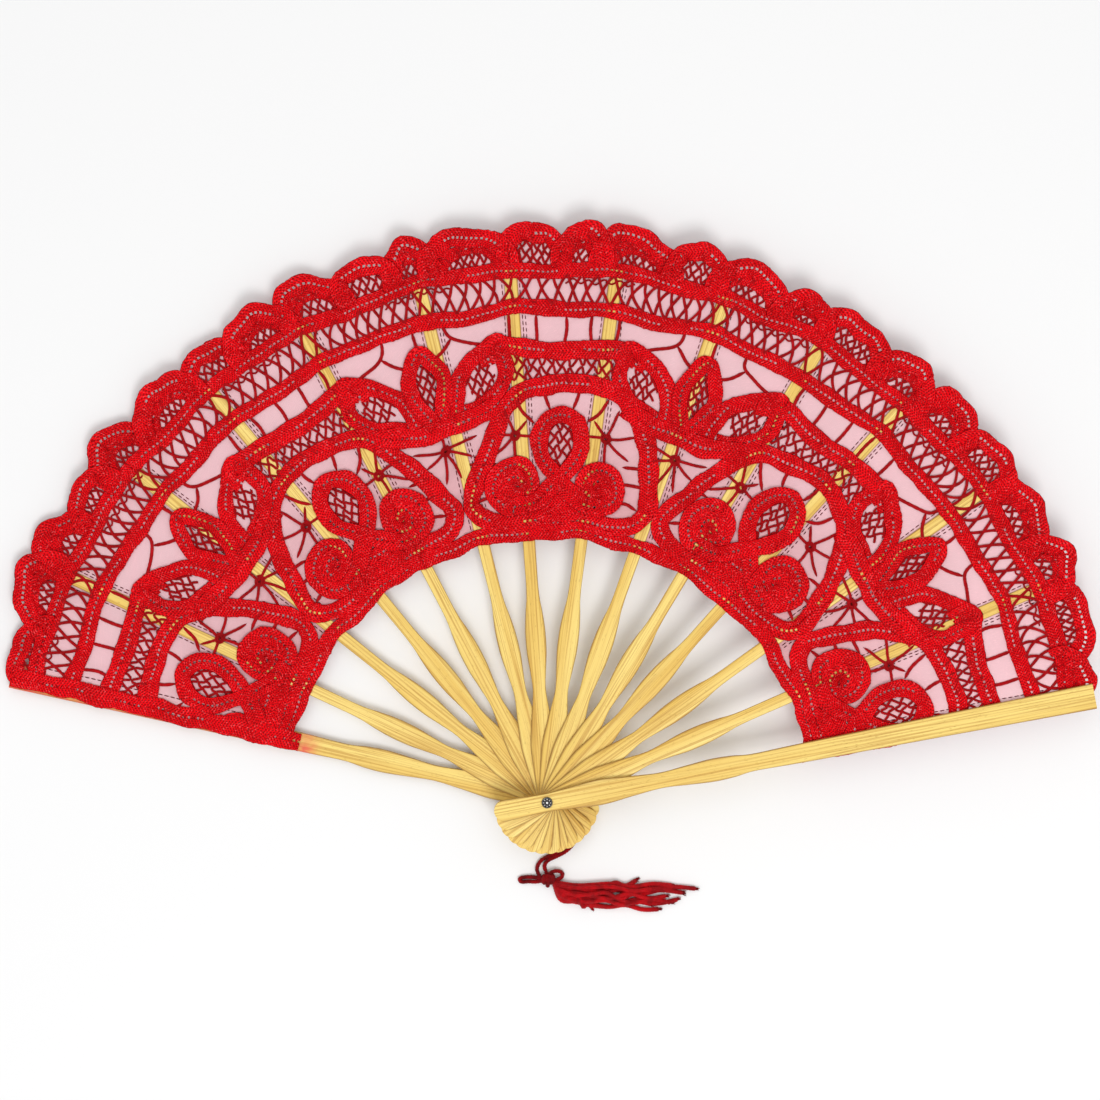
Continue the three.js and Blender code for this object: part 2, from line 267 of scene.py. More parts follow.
def tube(path, radius, sides, plies=0, lay=1.0, up_hint=(0, 0, 1), flatness=1.0):
    """A cord along a path: each ring is the centre plus the radius times (sideways cos a + upwards
    sin a), and the plies swell it by a cosine that turns once in every lay. A ring of no radius
    closes the cord there, and stretches between two such rings are left out."""
    path = np.asarray(path, float)
    heading = unit(np.gradient(path, axis=-2))
    side = unit(np.cross(np.array(up_hint, float), heading))
    up = np.cross(heading, side)
    gone = distance_along(path)
    turn = 2 * np.pi * np.arange(sides) / sides
    girth = np.broadcast_to(radius, gone.shape)[..., None] * np.ones(sides)
    if plies:
        laid = turn - 2 * np.pi * gone[..., None] / lay
        girth = girth * (0.9 + 0.16 * np.abs(np.cos(plies * laid / 2)))
    sideways = side[..., None, :] * np.cos(turn)[:, None]
    ring = sideways + flatness * up[..., None, :] * np.sin(turn)[:, None]
    points = path[..., None, :] + ring * girth[..., None]
    flat_gone = gone.reshape(-1, gone.shape[-1], 1)
    points, quads, uvs = weave(points, flat_gone, np.arange(sides + 1) / sides, closed=True)
    thick = (girth[..., :-1, 0] + girth[..., 1:, 0] > 1e-6)[..., None] & np.ones(sides, bool)
    return points, quads[thick.ravel()], uvs[thick.ravel()]


def round_ends(path, radius):
    """A cord's radius, drawn in at both ends as a ball's is: the root of 1 - (1 - s / radius)^2."""
    gone = distance_along(path)
    near = np.minimum(gone, gone[..., -1:] - gone)
    left = 1 - np.clip(near / radius, 0, 1)
    return radius * np.sqrt(np.clip(1 - left**2, 0, 1))


def make_piece(name, parts, finish, crease=None):
    """One object from parts in millimetres, each of points, quads and corner UVs. Points that lie
    on each other become one, so seams and poles are closed."""
    starts = np.cumsum([0] + [len(part[0]) for part in parts])
    points = np.concatenate([part[0] for part in parts]) * MM
    quads = np.concatenate([part[1] + first for part, first in zip(parts, starts)])
    mesh = bpy.data.meshes.new(name)
    mesh.from_pydata(points.tolist(), [], quads.tolist())
    layer = mesh.uv_layers.new(name="run")
    layer.data.foreach_set("uv", np.concatenate([part[2] for part in parts]).ravel())
    sewn = bmesh.new()
    sewn.from_mesh(mesh)
    bmesh.ops.remove_doubles(sewn, verts=sewn.verts, dist=1e-7)
    sewn.to_mesh(mesh)
    sewn.free()
    mesh.shade_smooth()
    if crease is not None:
        mesh.set_sharp_from_angle(angle=crease)
    mesh.materials.append(finish)
    piece = bpy.data.objects.new(name, mesh)
    bpy.context.scene.collection.objects.link(piece)
    return piece


def twisted(path, radius, up_hint=(0, 0, 1)):
    """A stretch of the tassel's cord along a path, with both ends rounded."""
    return tube(path, round_ends(path, radius), CORD_SIDES, CORD_PLIES, CORD_LAY, up_hint)


def yarn_finish(name, colour, shade, light, lay):
    """Twisted yarn: bands that wind round the cord along its UV, with painted shade in the grooves
    between them, painted highlights on flecks of fluff, and uneven dye.
    """
    material, start, shader = new_finish(name, Specular_IOR_Level=0.22)
    run = start.node("UVMap", settings={"uv_map": "run"})
    along, over = run.parts()
    wound = along * (2 * np.pi * 5 / lay) - over * (2 * np.pi * 15)
    fibres = wound.wave()
    place = start.node("TexCoord", output=3)
    uneven = place.noise(260.0, 3.0).between(0.3, 0.7)
    fluff = place.noise(2600.0, 2.0)
    colours = uneven.tint(shade, colour)
    # Painted highlights: flecks of fluff turned towards the light colour.
    colours = (fluff.between(0.5, 0.8) * 0.5).tint(colours, light)
    # Painted shade: the grooves between the twisted bands turned towards the darker colour, which is
    # also the low end of the uneven dye.
    feed(shader, Base_Color=(fibres * 0.6).tint(colours, shade), Roughness=fluff * 0.3 + 0.45)
    feed(shader, Normal=bump(fibres * 0.7 + fluff * 0.3, 0.0004))
    return material


# Main dye, darker dye that also serves as painted shade in the twist's grooves, and the painted
# highlight colour.
cord_yarn = yarn_finish("cord_yarn", dye(206, 0, 14), dye(120, 0, 6), dye(236, 34, 48), CORD_LAY)
cord_path = flow(CORD_ROUTE, CORD_STEP)
tassel_cord = make_piece(
    "tassel_cord_twisted", [twisted(cord_path, CORD_DIAMETER / 2)], cord_yarn)
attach(tassel_cord, "rear_guard")
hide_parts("tassel_cord")


# ---- The knot and its two bows ---------------------------------------------------------------
# The cord's ends are wound three and a half times round the neck of the skirt and pulled tight, and
# its slack stands out in a flat doubled loop on the left and a short arched one on the right.

KNOT_MIDDLE = np.array([0.5, -31.0, 2.0])
KNOT_HALF_LENGTH = 2.1
KNOT_RADII = (1.45, 1.2)
KNOT_TURNS = 3.5
KNOT_STEP = 0.3
CROSS_POINTS = 110
CROSS_RADIUS = 0.7
TAIL_RADIUS = 0.8
ENTRY_RADIUS = 0.74
LEFT_BOW = [
    [-1.2, -30.9, 1.8], [-3.3, -30.6, 1.4], [-5.6, -30.3, 1.1], [-8.0, -30.3, 0.9],
    [-10.1, -30.7, 0.85], [-10.6, -31.5, 0.85], [-9.6, -32.2, 0.85], [-7.2, -32.0, 0.95],
    [-4.6, -32.1, 1.2], [-1.6, -31.6, 1.7],
]
RIGHT_BOW = [
    [0.6, -29.9, 2.4], [1.3, -28.6, 2.2], [2.9, -27.9, 2.0], [4.7, -28.0, 1.7], [5.9, -28.9, 1.5],
    [5.6, -30.2, 1.6], [4.2, -31.0, 2.0], [2.4, -31.3, 2.4],
]
KNOT_TAIL = [[0.8, -31.6, 2.2], [0.4, -33.0, 1.5], [-0.1, -34.3, 0.9]]
# Where the cord's two ends, from the cord's own route, go into the knot
KNOT_ENTRIES = [
    [[-3.5, -28.8, 1.15], [-3.1, -29.6, 1.25], [-2.2, -30.5, 1.6], [-1.0, -31.0, 2.0]],
    [[-0.55, -27.8, 1.15], [-0.3, -28.6, 1.35], [0.1, -29.6, 1.9], [0.5, -30.6, 2.3]],
]

winding = np.linspace(0, 1, 150)
turned = 2 * np.pi * KNOT_TURNS * winding
knot_path = KNOT_MIDDLE + np.stack([
    (2 * winding - 1) * KNOT_HALF_LENGTH + 0.25 * np.sin(2 * turned),
    KNOT_RADII[0] * np.cos(turned),
    KNOT_RADII[1] * np.sin(turned)], -1)
cross_path = KNOT_MIDDLE + np.stack([
    1.9 * np.cos(2 * np.pi * winding) - 0.2, 1.5 * np.sin(2 * np.pi * winding),
    0.9 + 0.35 * np.sin(4 * np.pi * winding)], -1)
knot_parts = [
    twisted(knot_path, CORD_DIAMETER / 2, (1, 0, 0)),
    twisted(cross_path[:CROSS_POINTS], CROSS_RADIUS),
    twisted(flow(KNOT_TAIL, KNOT_STEP), TAIL_RADIUS),
    *(twisted(flow(entry, KNOT_STEP), ENTRY_RADIUS) for entry in KNOT_ENTRIES),
]
tassel_knot = make_piece("tassel_knot_wound", knot_parts, cord_yarn)
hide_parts("tassel_knot")
bows = []
for node, route in (("tassel_bow_left", LEFT_BOW), ("tassel_bow_right", RIGHT_BOW)):
    bow = make_piece(
        node + "_loop", [twisted(flow(route, CORD_STEP), CORD_DIAMETER / 2)], cord_yarn)
    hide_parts(node)
    bows.append(bow)
for piece in (tassel_knot, *bows):
    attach(piece, "rear_guard")


# ---- The tassel's skirt ----------------------------------------------------------------------
# Fourteen twisted crimson cords, tied at the knot and thrown to the right on the table. They lie
# across each other, wave a little, and end in cut tips that have begun to fray.

# Each cord: y where the bundle is narrow, end x, end y, how high it lies in the bundle, sway
SKIRT_CORDS = np.array([
    [-33.2, 48.4, -33.5, 1.0, 0.5], [-34.6, 57.5, -34.8, 0.3, 0.7], [-41.2, 50.5, -38.9, 0.0, -1.0],
    [-38.4, 47.9, -40.2, 1.1, 0.8], [-40.6, 43.3, -42.7, 0.4, -0.6], [-36.0, 52.5, -36.4, 0.0, 0.9],
    [-37.2, 46.0, -37.6, 1.9, -0.9], [-34.0, 49.6, -35.6, 1.9, 0.6], [-35.2, 44.5, -34.0, 1.0, -0.8],
    [-39.4, 40.5, -40.8, 1.7, 0.7], [-36.6, 38.6, -38.2, 2.2, 1.0], [-39.9, 37.0, -36.0, 0.0, 1.2],
    [-35.6, 34.6, -31.4, 1.2, -1.1], [-38.0, 17.4, -42.4, 1.6, 1.4],
])
SKIRT_CORD_RADIUS = 0.88
SKIRT_SIDES = 12
FRAY_RADIUS = 0.2
SKIRT_NECK = np.array([2.4, -31.7, 2.2])
NARROW_X = 17.0
FRAYS_PER_CORD = 14
skirt_chance = np.random.default_rng(5)


def skirt_path(narrow_y, end_x, end_y, level, sway):
    """One cord from the neck through the narrow of the bundle to its end, where it lies on the
    table. It swings to and fro by the sway, and dips from its level towards both ends."""
    narrow_x = min(NARROW_X, 0.6 * end_x)
    height = 0.9 + 1.25 * level
    between = [
        [narrow_x + (end_x - narrow_x) * share, narrow_y + (end_y - narrow_y) * share + side * sway]
        for share, side in ((0.25, 1.0), (0.5, -1.0), (0.75, 1.0))]
    early = SKIRT_NECK[1] + 0.72 * (narrow_y - SKIRT_NECK[1])
    return flow([
        SKIRT_NECK,
        [5.2, early + 0.4 * sway, min(height, 3.0)],
        [0.5 * (5.2 + narrow_x), 0.3 * early + 0.7 * narrow_y - 0.6 * sway, height],
        [narrow_x, narrow_y, height],
        [*between[0], height], [*between[1], 0.9 + 0.9 * level], [*between[2], 0.9 + 0.4 * level],
        [end_x, end_y, 0.9]], 0.5)


skirt_parts = []
for numbers in SKIRT_CORDS:
    strand = skirt_path(*numbers)
    girth = round_ends(strand, SKIRT_CORD_RADIUS)
    skirt_parts.append(tube(strand, girth, SKIRT_SIDES, CORD_PLIES, CORD_LAY))
    heading = unit(strand[-1] - strand[-4])
    spread = skirt_chance.normal(0, 0.16, (FRAYS_PER_CORD, 3)) * (1, 1, 0.25)
    lengths = skirt_chance.uniform(0.5, 1.0, (FRAYS_PER_CORD, 1))
    reach = np.linspace(-1, 1, 5)[:, None, None]
    hairs = strand[-1] + reach * lengths * heading + spread * (2.0 + 0.7 * reach)
    hairs = np.swapaxes(hairs, 0, 1)
    skirt_parts.append(tube(hairs, FRAY_RADIUS * np.array([0.4, 1, 1, 0.8, 0.3]), 5))
# Main dye, darker dye that also serves as painted shade in the twist's grooves, and the painted
# highlight colour.
skirt_yarn = yarn_finish("skirt_yarn", dye(255, 0, 20), dye(168, 0, 10), dye(255, 76, 92), CORD_LAY)
tassel_skirt = make_piece("tassel_skirt_cords", skirt_parts, skirt_yarn)
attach(tassel_skirt, "rear_guard")
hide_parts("tassel_skirt")


# ---- The bamboo guards and sticks ------------------------------------------------------------
# Twelve thin sticks between two thicker guards, split from bamboo, cut to a waved outline with a
# round head, bored for the rivet and polished. Inside the leaf a stick is shaved to a thin blade.

SPREAD = np.array([167, 155, 141.5, 129.5, 117.5, 104, 94, 82.5, 70.5, 59, 48, 35.5, 23.5, 11])
LAST = len(SPREAD) - 1
BODIES = ["rear_guard", *(f"stick_{k:02d}" for k in range(1, LAST)), "front_guard"]
GUARD_THICKNESS = 1.8
STICK_THICKNESS = 0.9
BLADE_THICKNESS = 0.5
STACK_PITCH = 1.1
REAR_GUARD_LEVEL = 2.3
THINNING = (80, 94)
HEAD_END = -20.4
HEAD_RADIUS = 4.1
PIVOT_HOLE_RADIUS = 1.3
EDGE_EASE = 0.28
GRAIN_APART = 300.0
DRILL_SIDES = 24
DRILL_TOP = 24.0
LEAF_DYE = dye(224, 88, 66)
STICK_WAVE = [
    (-16.3, 4.1), (-10, 3.9), (0, 3.4), (10, 4.1), (21, 4.8), (32, 3.7), (42, 2.5), (50, 3.1),
    (57, 3.8), (65, 3.85), (72, 3.25), (80, 2.4), (100, 2.35), (204, 2.6)]
GUARD_WAVE = [
    (-16.3, 4.1), (-10, 3.9), (0, 3.5), (10, 4.2), (21, 4.9), (33, 3.8), (44, 3.0), (54, 3.7),
    (64, 4.4), (72, 4.1), (80, 3.3), (100, 3.7), (150, 4.2), (211, 4.9)]


def ease(t):
    """3 t squared - 2 t cubed, with t held between 0 and 1."""
    t = np.clip(t, 0, 1)
    return t * t * (3 - 2 * t)


def back_level(k):
    """Height of the back face of stick k: the rear guard, a gap, then one pitch for each stick."""
    first = REAR_GUARD_LEVEL + GUARD_THICKNESS + STACK_PITCH - STICK_THICKNESS
    return np.where(np.asarray(k) == 0, REAR_GUARD_LEVEL, first + (np.asarray(k) - 1) * STACK_PITCH)


def stick_solid(k):
    """A stick as rings round its long axis: at each station an oblong of the outline's width and
    the stick's thickness, with eased edges. It closes to a point at the head and at the tip."""
    is_guard = k in (0, LAST)
    turn = np.radians(np.linspace(0, 75, 9))
    head = np.stack([HEAD_END + HEAD_RADIUS * (1 - np.cos(turn)), HEAD_RADIUS * np.sin(turn)], -1)
    wave = flow(GUARD_WAVE if is_guard else STICK_WAVE, 1.8)
    outline = np.concatenate([head, wave, wave[-1:], wave[-1:]])
    along, half = outline[:, 0], np.maximum(outline[:, 1], 0.02)
    half[-2] -= 0.15
    half[-1] = 0.0
    half[0] = 0.0
    along[-2:] += 0.12
    if is_guard:
        thick = np.full(len(along), GUARD_THICKNESS)
    else:
        shaved = ease((along - THINNING[0]) / (THINNING[1] - THINNING[0]))
        thick = STICK_THICKNESS + (BLADE_THICKNESS - STICK_THICKNESS) * shaved
    # across in half widths less the ease, up in thicknesses, and out by the ease, round the oblong
    ring = np.array([
        (-1, 0, 0), (-0.5, 0, 0), (0, 0, 0), (0.5, 0, 0), (1, 0, 0), (1, 0.16, 0.7), (1, 0.5, 1),
        (1, 0.84, 0.7), (1, 1, 0), (0.5, 1, 0), (0, 1, 0), (-0.5, 1, 0), (-1, 1, 0),
        (-1, 0.84, -0.7), (-1, 0.5, -1), (-1, 0.16, -0.7)])
    body = np.maximum(half - EDGE_EASE, 0)[:, None]
    across = body * ring[:, 0] + np.minimum(half, EDGE_EASE)[:, None] * ring[:, 2]
    height = back_level(k) + thick[:, None] * ring[:, 1]
    closed_end = (half == 0)[:, None]
    height = np.where(closed_end, back_level(k) + thick[:, None] / 2, height)
    spread = np.radians(SPREAD[k])
    x = along[:, None] * np.cos(spread) + across * np.sin(spread)
    y = along[:, None] * np.sin(spread) - across * np.cos(spread)
    points = np.stack([x, y, height], -1)
    wrapped = np.concatenate([across, across[:, :1]], 1)
    return weave(points, along[:, None] + GRAIN_APART * k, wrapped, closed=True)


def bore(piece):
    """Takes a round hole at the pivot right through the piece, and leaves no modifier on it."""
    turn = 2 * np.pi * np.arange(DRILL_SIDES) / DRILL_SIDES
    ring = PIVOT_HOLE_RADIUS * np.stack([np.cos(turn), np.sin(turn)], -1)
    levels = np.array([0.0, 0.0, DRILL_TOP, DRILL_TOP])
    reach = np.array([0.0, 1.0, 1.0, 0.0])
    points = np.concatenate([
        reach[:, None, None] * ring, np.broadcast_to(levels[:, None, None], (4, DRILL_SIDES, 1))], -1)
    drill = make_piece("drill", [weave(points, 0.0, 0.0, closed=True)], piece.data.materials[0])
    sewn = bmesh.new()
    sewn.from_mesh(drill.data)
    bmesh.ops.recalc_face_normals(sewn, faces=sewn.faces)
    sewn.to_mesh(drill.data)
    sewn.free()
    cut = piece.modifiers.new("pivot hole", "BOOLEAN")
    cut.operation, cut.solver, cut.object = "DIFFERENCE", "EXACT", drill
    bpy.context.view_layer.update()
    bored = bpy.data.meshes.new_from_object(
        piece.evaluated_get(bpy.context.evaluated_depsgraph_get()))
    piece.modifiers.clear()
    piece.data = bored
    bpy.data.objects.remove(drill)


def bamboo_finish(name, pale, deep):
    """Polished bamboo: long fibres, broader bands of tone, brown at the edges (partly their own
    colour, partly painted shade of the gaps between sticks), and stains.
    """
    material, start, shader = new_finish(name, Specular_IOR_Level=0.4)
    run = start.node("UVMap", settings={"uv_map": "run"})
    fibres = run.stretched(0.016, 1.5).noise(1.0, 4.0)
    hairs = run.stretched(0.05, 5.5).noise(1.0, 2.0)
    bands = run.stretched(0.006, 0.16).noise(1.0, 2.0)
    pores = run.stretched(0.5, 4.5).noise(1.0, 1.0).between(0.68, 0.76)
    edge = start.node("Attribute", settings={"attribute_name": "edge"}, output=2)
    stain = start.node("Attribute", settings={"attribute_name": "stain"}, output=2)
    colours = bands.between(0.3, 0.7).tint(pale, deep)
    streaks = fibres.between(0.47, 0.62) * 0.62 + hairs.between(0.5, 0.68) * 0.4
    colours = streaks.tint(colours, dye(190, 140, 54))
    colours = (pores * 0.5).tint(colours, dye(140, 92, 34))
    # Brown towards both edges: partly the cut edges' own colour, partly painted shade where the gaps
    # between the sticks fall dark.
    colours = (edge.between(0.8, 1.0) * 0.75).tint(colours, dye(146, 98, 38))
    soaked = run.stretched(0.25, 1.2).noise(1.0, 3.0).between(0.2, 0.55)
    colours = (stain * soaked).tint(colours, LEAF_DYE)
    feed(shader, Base_Color=colours, Roughness=fibres * 0.25 + 0.33)
    feed(shader, Normal=bump(fibres * 0.6 + hairs * 0.4 - pores * 0.5, 0.00010))
    return material


def mark(piece, k):
    """Writes at each point how near it is to the cut edge, 0 to 1, and how far the rear guard took
    up the leaf's red dye: near its tip, along its outer edge and where the leaf begins."""
    places = np.zeros(len(piece.data.vertices) * 3)
    piece.data.vertices.foreach_get("co", places)
    x, y, _ = places.reshape(-1, 3).T / MM
    spread = np.radians(SPREAD[k])
    along = x * np.cos(spread) + y * np.sin(spread)
    across = x * np.sin(spread) - y * np.cos(spread)
    outline = np.array(GUARD_WAVE if k in (0, LAST) else STICK_WAVE)
    half = np.interp(along, outline[:, 0], outline[:, 1])
    outer = -across
    start_of_leaf = np.exp(-((along - 95.0) / 3.6) ** 2) * (0.75 + 0.25 * np.sign(outer))
    low_edge = ease((along - 101) / 6) * ease((outer - 1.2) / 2.2) * 0.8
    tip = ease((along - 199) / 9)
    stain = (0.95 if k == 0 else 0.0) * np.clip(start_of_leaf + low_edge + tip, 0, 1)
    for name, values in (("edge", np.abs(across) / half), ("stain", stain)):
        layer = piece.data.attributes.new(name, "FLOAT", "POINT")
        layer.data.foreach_set("value", np.clip(values, 0, 1).astype(np.float32))


stick_bamboo = bamboo_finish("stick_bamboo", dye(244, 216, 124), dye(228, 188, 88))
guard_bamboo = bamboo_finish("guard_bamboo", dye(243, 215, 120), dye(230, 192, 92))
for k, body in enumerate(BODIES):
    is_guard = k in (0, LAST)
    finish = guard_bamboo if is_guard else stick_bamboo
    stick = make_piece(body + "_bamboo", [stick_solid(k)], finish, crease=0.9)
    bore(stick)
    mark(stick, k)
    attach(stick, body)
    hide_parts(body)


# ---- The rivet -------------------------------------------------------------------------------
# A steel pin with a broad flat tail behind the rear guard. Its front end carries a small pressed
# rosette: a dark cup with a raised rim, eight bright beads in a ring and one in the middle.

ROSETTE_RADIUS = 2.1
ROSETTE_EDGE_HEIGHT = 0.224
ROSETTE_SIDES = 64
ROSETTE_GAP = 0.3
PETALS = 8
ROSETTE_LEVEL = float(back_level(LAST)) + GUARD_THICKNESS + ROSETTE_GAP


def rosette_shape():
    """A disc in polar rings whose height is the sum of a rim, a bead in the middle, and a ring of
    beads that rise with the cosine of eight times the angle; its back is a flat disc."""
    radius = np.concatenate([np.zeros(1), np.linspace(0.08, ROSETTE_RADIUS, 22)])
    turn = 2 * np.pi * np.arange(ROSETTE_SIDES) / ROSETTE_SIDES
    share = (radius / ROSETTE_RADIUS)[:, None]
    rim = 0.2 * np.exp(-((share - 0.88) / 0.085) ** 2)
    middle = 0.44 * np.exp(-((share / 0.24) ** 4))
    ring = 0.44 * np.exp(-((share - 0.6) / 0.13) ** 2) * ease(0.3 + 1.3 * np.cos(PETALS * turn))
    height = np.where(share > 0.97, ROSETTE_EDGE_HEIGHT, 0.3 + rim + middle + ring)
    edge = radius[-1:, None] * np.ones(ROSETTE_SIDES)
    reach = np.concatenate([radius[:, None] * np.ones(ROSETTE_SIDES), edge, 0 * edge])
    height = np.concatenate([height, 0 * edge, 0 * edge]) + ROSETTE_LEVEL
    points = np.stack([reach * np.cos(turn), reach * np.sin(turn), height], -1)
    return weave(points, reach[:, :1], np.arange(ROSETTE_SIDES + 1) / ROSETTE_SIDES, closed=True)


def metal_finish(name, bright, dark, dark_level, bright_level):
    """Worn steel: bright where it stands up, dark in the hollows, with fine scratches."""
    material, start, shader = new_finish(name, Specular_IOR_Level=0.6)
    place = start.node("TexCoord", output=3)
    level = place.node("SeparateXYZ", {0: place}, output=2)
    scratch = place.stretched(4000.0, 900.0, 900.0).noise(1.0, 3.0)
    spots = place.noise(1500.0, 3.0)
    raised = (level + scratch * 0.00012).between(dark_level * MM, bright_level * MM)
    colours = (spots.between(0.35, 0.7) * 0.4).tint(raised.tint(dark, bright), dark)
    feed(shader, Base_Color=colours, Metallic=raised * 0.3 + 0.35, Roughness=scratch * 0.35 + 0.22)
    feed(shader, Normal=bump(scratch * 0.5 + spots * 0.5, 0.00004))
    return material


rosette_metal = metal_finish(
    "rosette_metal", dye(240, 240, 236), dye(14, 12, 12), ROSETTE_LEVEL + 0.52, ROSETTE_LEVEL + 0.62)
rosette = make_piece("rivet_rosette_beaded", [rosette_shape()], rosette_metal)
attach(rosette, "rear_guard")
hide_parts("rivet_rosette")
pin_metal = metal_finish("pin_metal", dye(190, 190, 186), dye(96, 94, 92), -1.0, 0.1)
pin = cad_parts["rivet_pin"]
pin.data.materials.clear()
pin.data.materials.append(pin_metal)


# ---- The lining ------------------------------------------------------------------------------
# Pale pink sheer cloth, one pleated strip between each two sticks, behind them. Each strip has a
# deep fold after its first stick and a high one before its second, and is stitched beside both.

LEAF_INNER = 99
LEAF_OUTER = 219
LEAF_OUTER_AT_GUARD = 210
LEAF_CORNER_DEGREES = 9
LACE_THICKNESS = 0.35
LINING_THICKNESS = 0.15
GLUE_GAP = 0.1
CLOTH_GAP = 0.25
PLEAT_DEPTH = 1.4
PLEAT_DEPTH_INNER = 0.15
BLADE_FLAT = 3.0
GUARD_FLAT = 5.3
LEAF_ON_GUARD = 3.2
LINING_INNER = LEAF_INNER + 1.5
LINING_SHORT_OF_EDGE = 6.5
STITCH_OFFSET = 3.4
STITCH_RADIUS = 0.2
STITCH_LENGTH = 2.4
STITCH_LIFT = 0.12
LINING_RIPPLE = 0.07
LINING_LIFT = 0.06


def lace_seat(k):
    """Height of the lace's back where it lies on stick k: on a blade, or under the front guard."""
    on_blade = back_level(k) + BLADE_THICKNESS + GLUE_GAP
    on_rear = REAR_GUARD_LEVEL + GUARD_THICKNESS + 2 * GLUE_GAP + LINING_THICKNESS
    under_front = back_level(LAST) - GLUE_GAP - LACE_THICKNESS
    return np.where(k == 0, on_rear, np.where(k == LAST, under_front, on_blade))


def lining_seat(k):
    """Height of the lining's back where it lies behind stick k, or on the rear guard."""
    under = back_level(k) - GLUE_GAP - LINING_THICKNESS
    on_rear = REAR_GUARD_LEVEL + GUARD_THICKNESS + GLUE_GAP
    under_lace = lace_seat(LAST) - GLUE_GAP - LINING_THICKNESS
    return np.where(k == 0, on_rear, np.where(k == LAST, under_lace, under))


def bay_of(degrees):
    """The bay that a direction falls in: k for the one between sticks k - 1 and k."""
    return np.clip(np.searchsorted(-SPREAD, -degrees), 1, LAST)


def free_share(radius, degrees):
    """How far across its bay a point is, 0 to 1, leaving out the flat cloth beside both sticks."""
    k = bay_of(degrees)
    before = SPREAD[k - 1] - np.degrees(np.where(k == 1, GUARD_FLAT, BLADE_FLAT) / radius)
    after = SPREAD[k] + np.degrees(np.where(k == LAST, GUARD_FLAT, BLADE_FLAT) / radius)
    return np.clip((before - degrees) / (before - after), 0, 1)


def pleat(radius, degrees):
    """Depth of the fold: a soft zigzag, 0, 1, 0, -1, 0 across the bay, deeper further out."""
    zigzag = np.arcsin(0.95 * np.sin(2 * np.pi * free_share(radius, degrees))) / np.arcsin(0.95)
    out = np.clip((radius - LEAF_INNER) / (LEAF_OUTER - LEAF_INNER), 0, 1)
    return (PLEAT_DEPTH_INNER + (PLEAT_DEPTH - PLEAT_DEPTH_INNER) * out) * zigzag


def lace_level(radius, degrees):
    """Height of the lace's back: from one stick's seat to the next one's, less the fold."""
    k, across = bay_of(degrees), ease(free_share(radius, degrees))
    return lace_seat(k - 1) * (1 - across) + lace_seat(k) * across - pleat(radius, degrees)


def lining_level(radius, degrees):
    """Height of the lining's back: its seats beside the sticks, just under the lace between."""
    k, t = bay_of(degrees), free_share(radius, degrees)
    seated = lining_seat(k - 1) * (1 - ease(t)) + lining_seat(k) * ease(t) - pleat(radius, degrees)
    away = ease(4 * t) * ease(4 - 4 * t)
    return seated * (1 - away) + (lace_level(radius, degrees) - CLOTH_GAP - LINING_THICKNESS) * away


def leaf_edge(degrees):
    """The leaf's outer radius, which draws in over the last few degrees before a guard."""
    to_guard = np.minimum(SPREAD[0] - degrees, degrees - SPREAD[LAST])
    return LEAF_OUTER_AT_GUARD + (LEAF_OUTER - LEAF_OUTER_AT_GUARD) * ease(
        to_guard / LEAF_CORNER_DEGREES)


def bearing(points):
    """How far points are from the rivet, and in which direction, in degrees."""
    x, y = points[..., 0], points[..., 1]
    return np.hypot(x, y), np.degrees(np.arctan2(y, x))


def bend_over(piece):
    """Bakes the piece's placement into its points. It does not bend the piece with its bay."""
    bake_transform(piece)


def polar(radius, degrees, level):
    """Points at that radius, direction and height."""
    turn = np.radians(degrees)
    return np.stack([radius * np.cos(turn), radius * np.sin(turn), level], -1)


def sheer_finish():
    """Sheer plain weave: fine threads both ways that let some of the light through, with slubs
    and soft patches of tone, and painted shade that turns the pink duller towards the handle."""
    material, start, shader = new_finish("sheer_lining", Specular_IOR_Level=0.2)
    run = start.node("UVMap", settings={"uv_map": "run"})
    out, over = run.parts()
    warp, weft = (out * 15.0).wave(), (over * 15.0).wave()
    threads = warp.math("MAXIMUM", warp, weft)
    slubs = run.stretched(0.5, 3.0).noise(1.0, 2.0).between(0.55, 0.75)
    patches = run.noise(0.06, 2.0).between(0.3, 0.7)
    # Painted shade: the pink turns duller and darker towards the handle, as if the cloth lay in shade
    # there.
    handle_shade = (out * -1.0 + 168.0).between(0.0, 60.0)
    colours = handle_shade.tint(dye(255, 208, 214), dye(224, 166, 170))
    colours = (patches * 0.35).tint(colours, dye(246, 192, 200))
    feed(shader, Base_Color=colours, Roughness=threads * 0.2 + 0.6)
    # The same painted-shade band also makes the cloth a little less see-through.
    feed(shader, Alpha=threads * 0.2 + slubs * 0.1 + patches * 0.06 + handle_shade * 0.06 + 0.6)
    feed(shader, Normal=bump(threads, 0.00005))
    return material


sheer_lining = sheer_finish()
lining_pieces, seam_pieces = [], []
for k in range(1, LAST + 1):
    share = np.linspace(0, 1, 31)
    wide_from = SPREAD[k - 1] + (np.degrees(LEAF_ON_GUARD / LEAF_OUTER) if k == 1 else 0)
    wide_to = SPREAD[k] - (np.degrees(LEAF_ON_GUARD / LEAF_OUTER) if k == LAST else 0)
    degrees = wide_from + (wide_to - wide_from) * share[None, :]
    out = np.linspace(0, 1, 41)[:, None]
    edge = leaf_edge(degrees) - LINING_SHORT_OF_EDGE
    radius = LINING_INNER + (edge - LINING_INNER) * out
    degrees = degrees + 0 * radius
    ripple = LINING_RIPPLE * np.sin(radius * 0.35 + 3 * k) * np.sin(degrees * 2.1)
    level = lining_level(radius, degrees) + LINING_LIFT + ripple * np.sin(np.pi * share)
    across = np.radians(degrees) * radius
    lining = make_piece(
        f"lining_{k:02d}_sheer",
        [weave(polar(radius, degrees, level)[:, ::-1], radius[:, ::-1], across[:, ::-1])],
        sheer_lining)
    bend_over(lining)
    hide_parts(f"lining_{k:02d}")
    lining_pieces.append(lining)
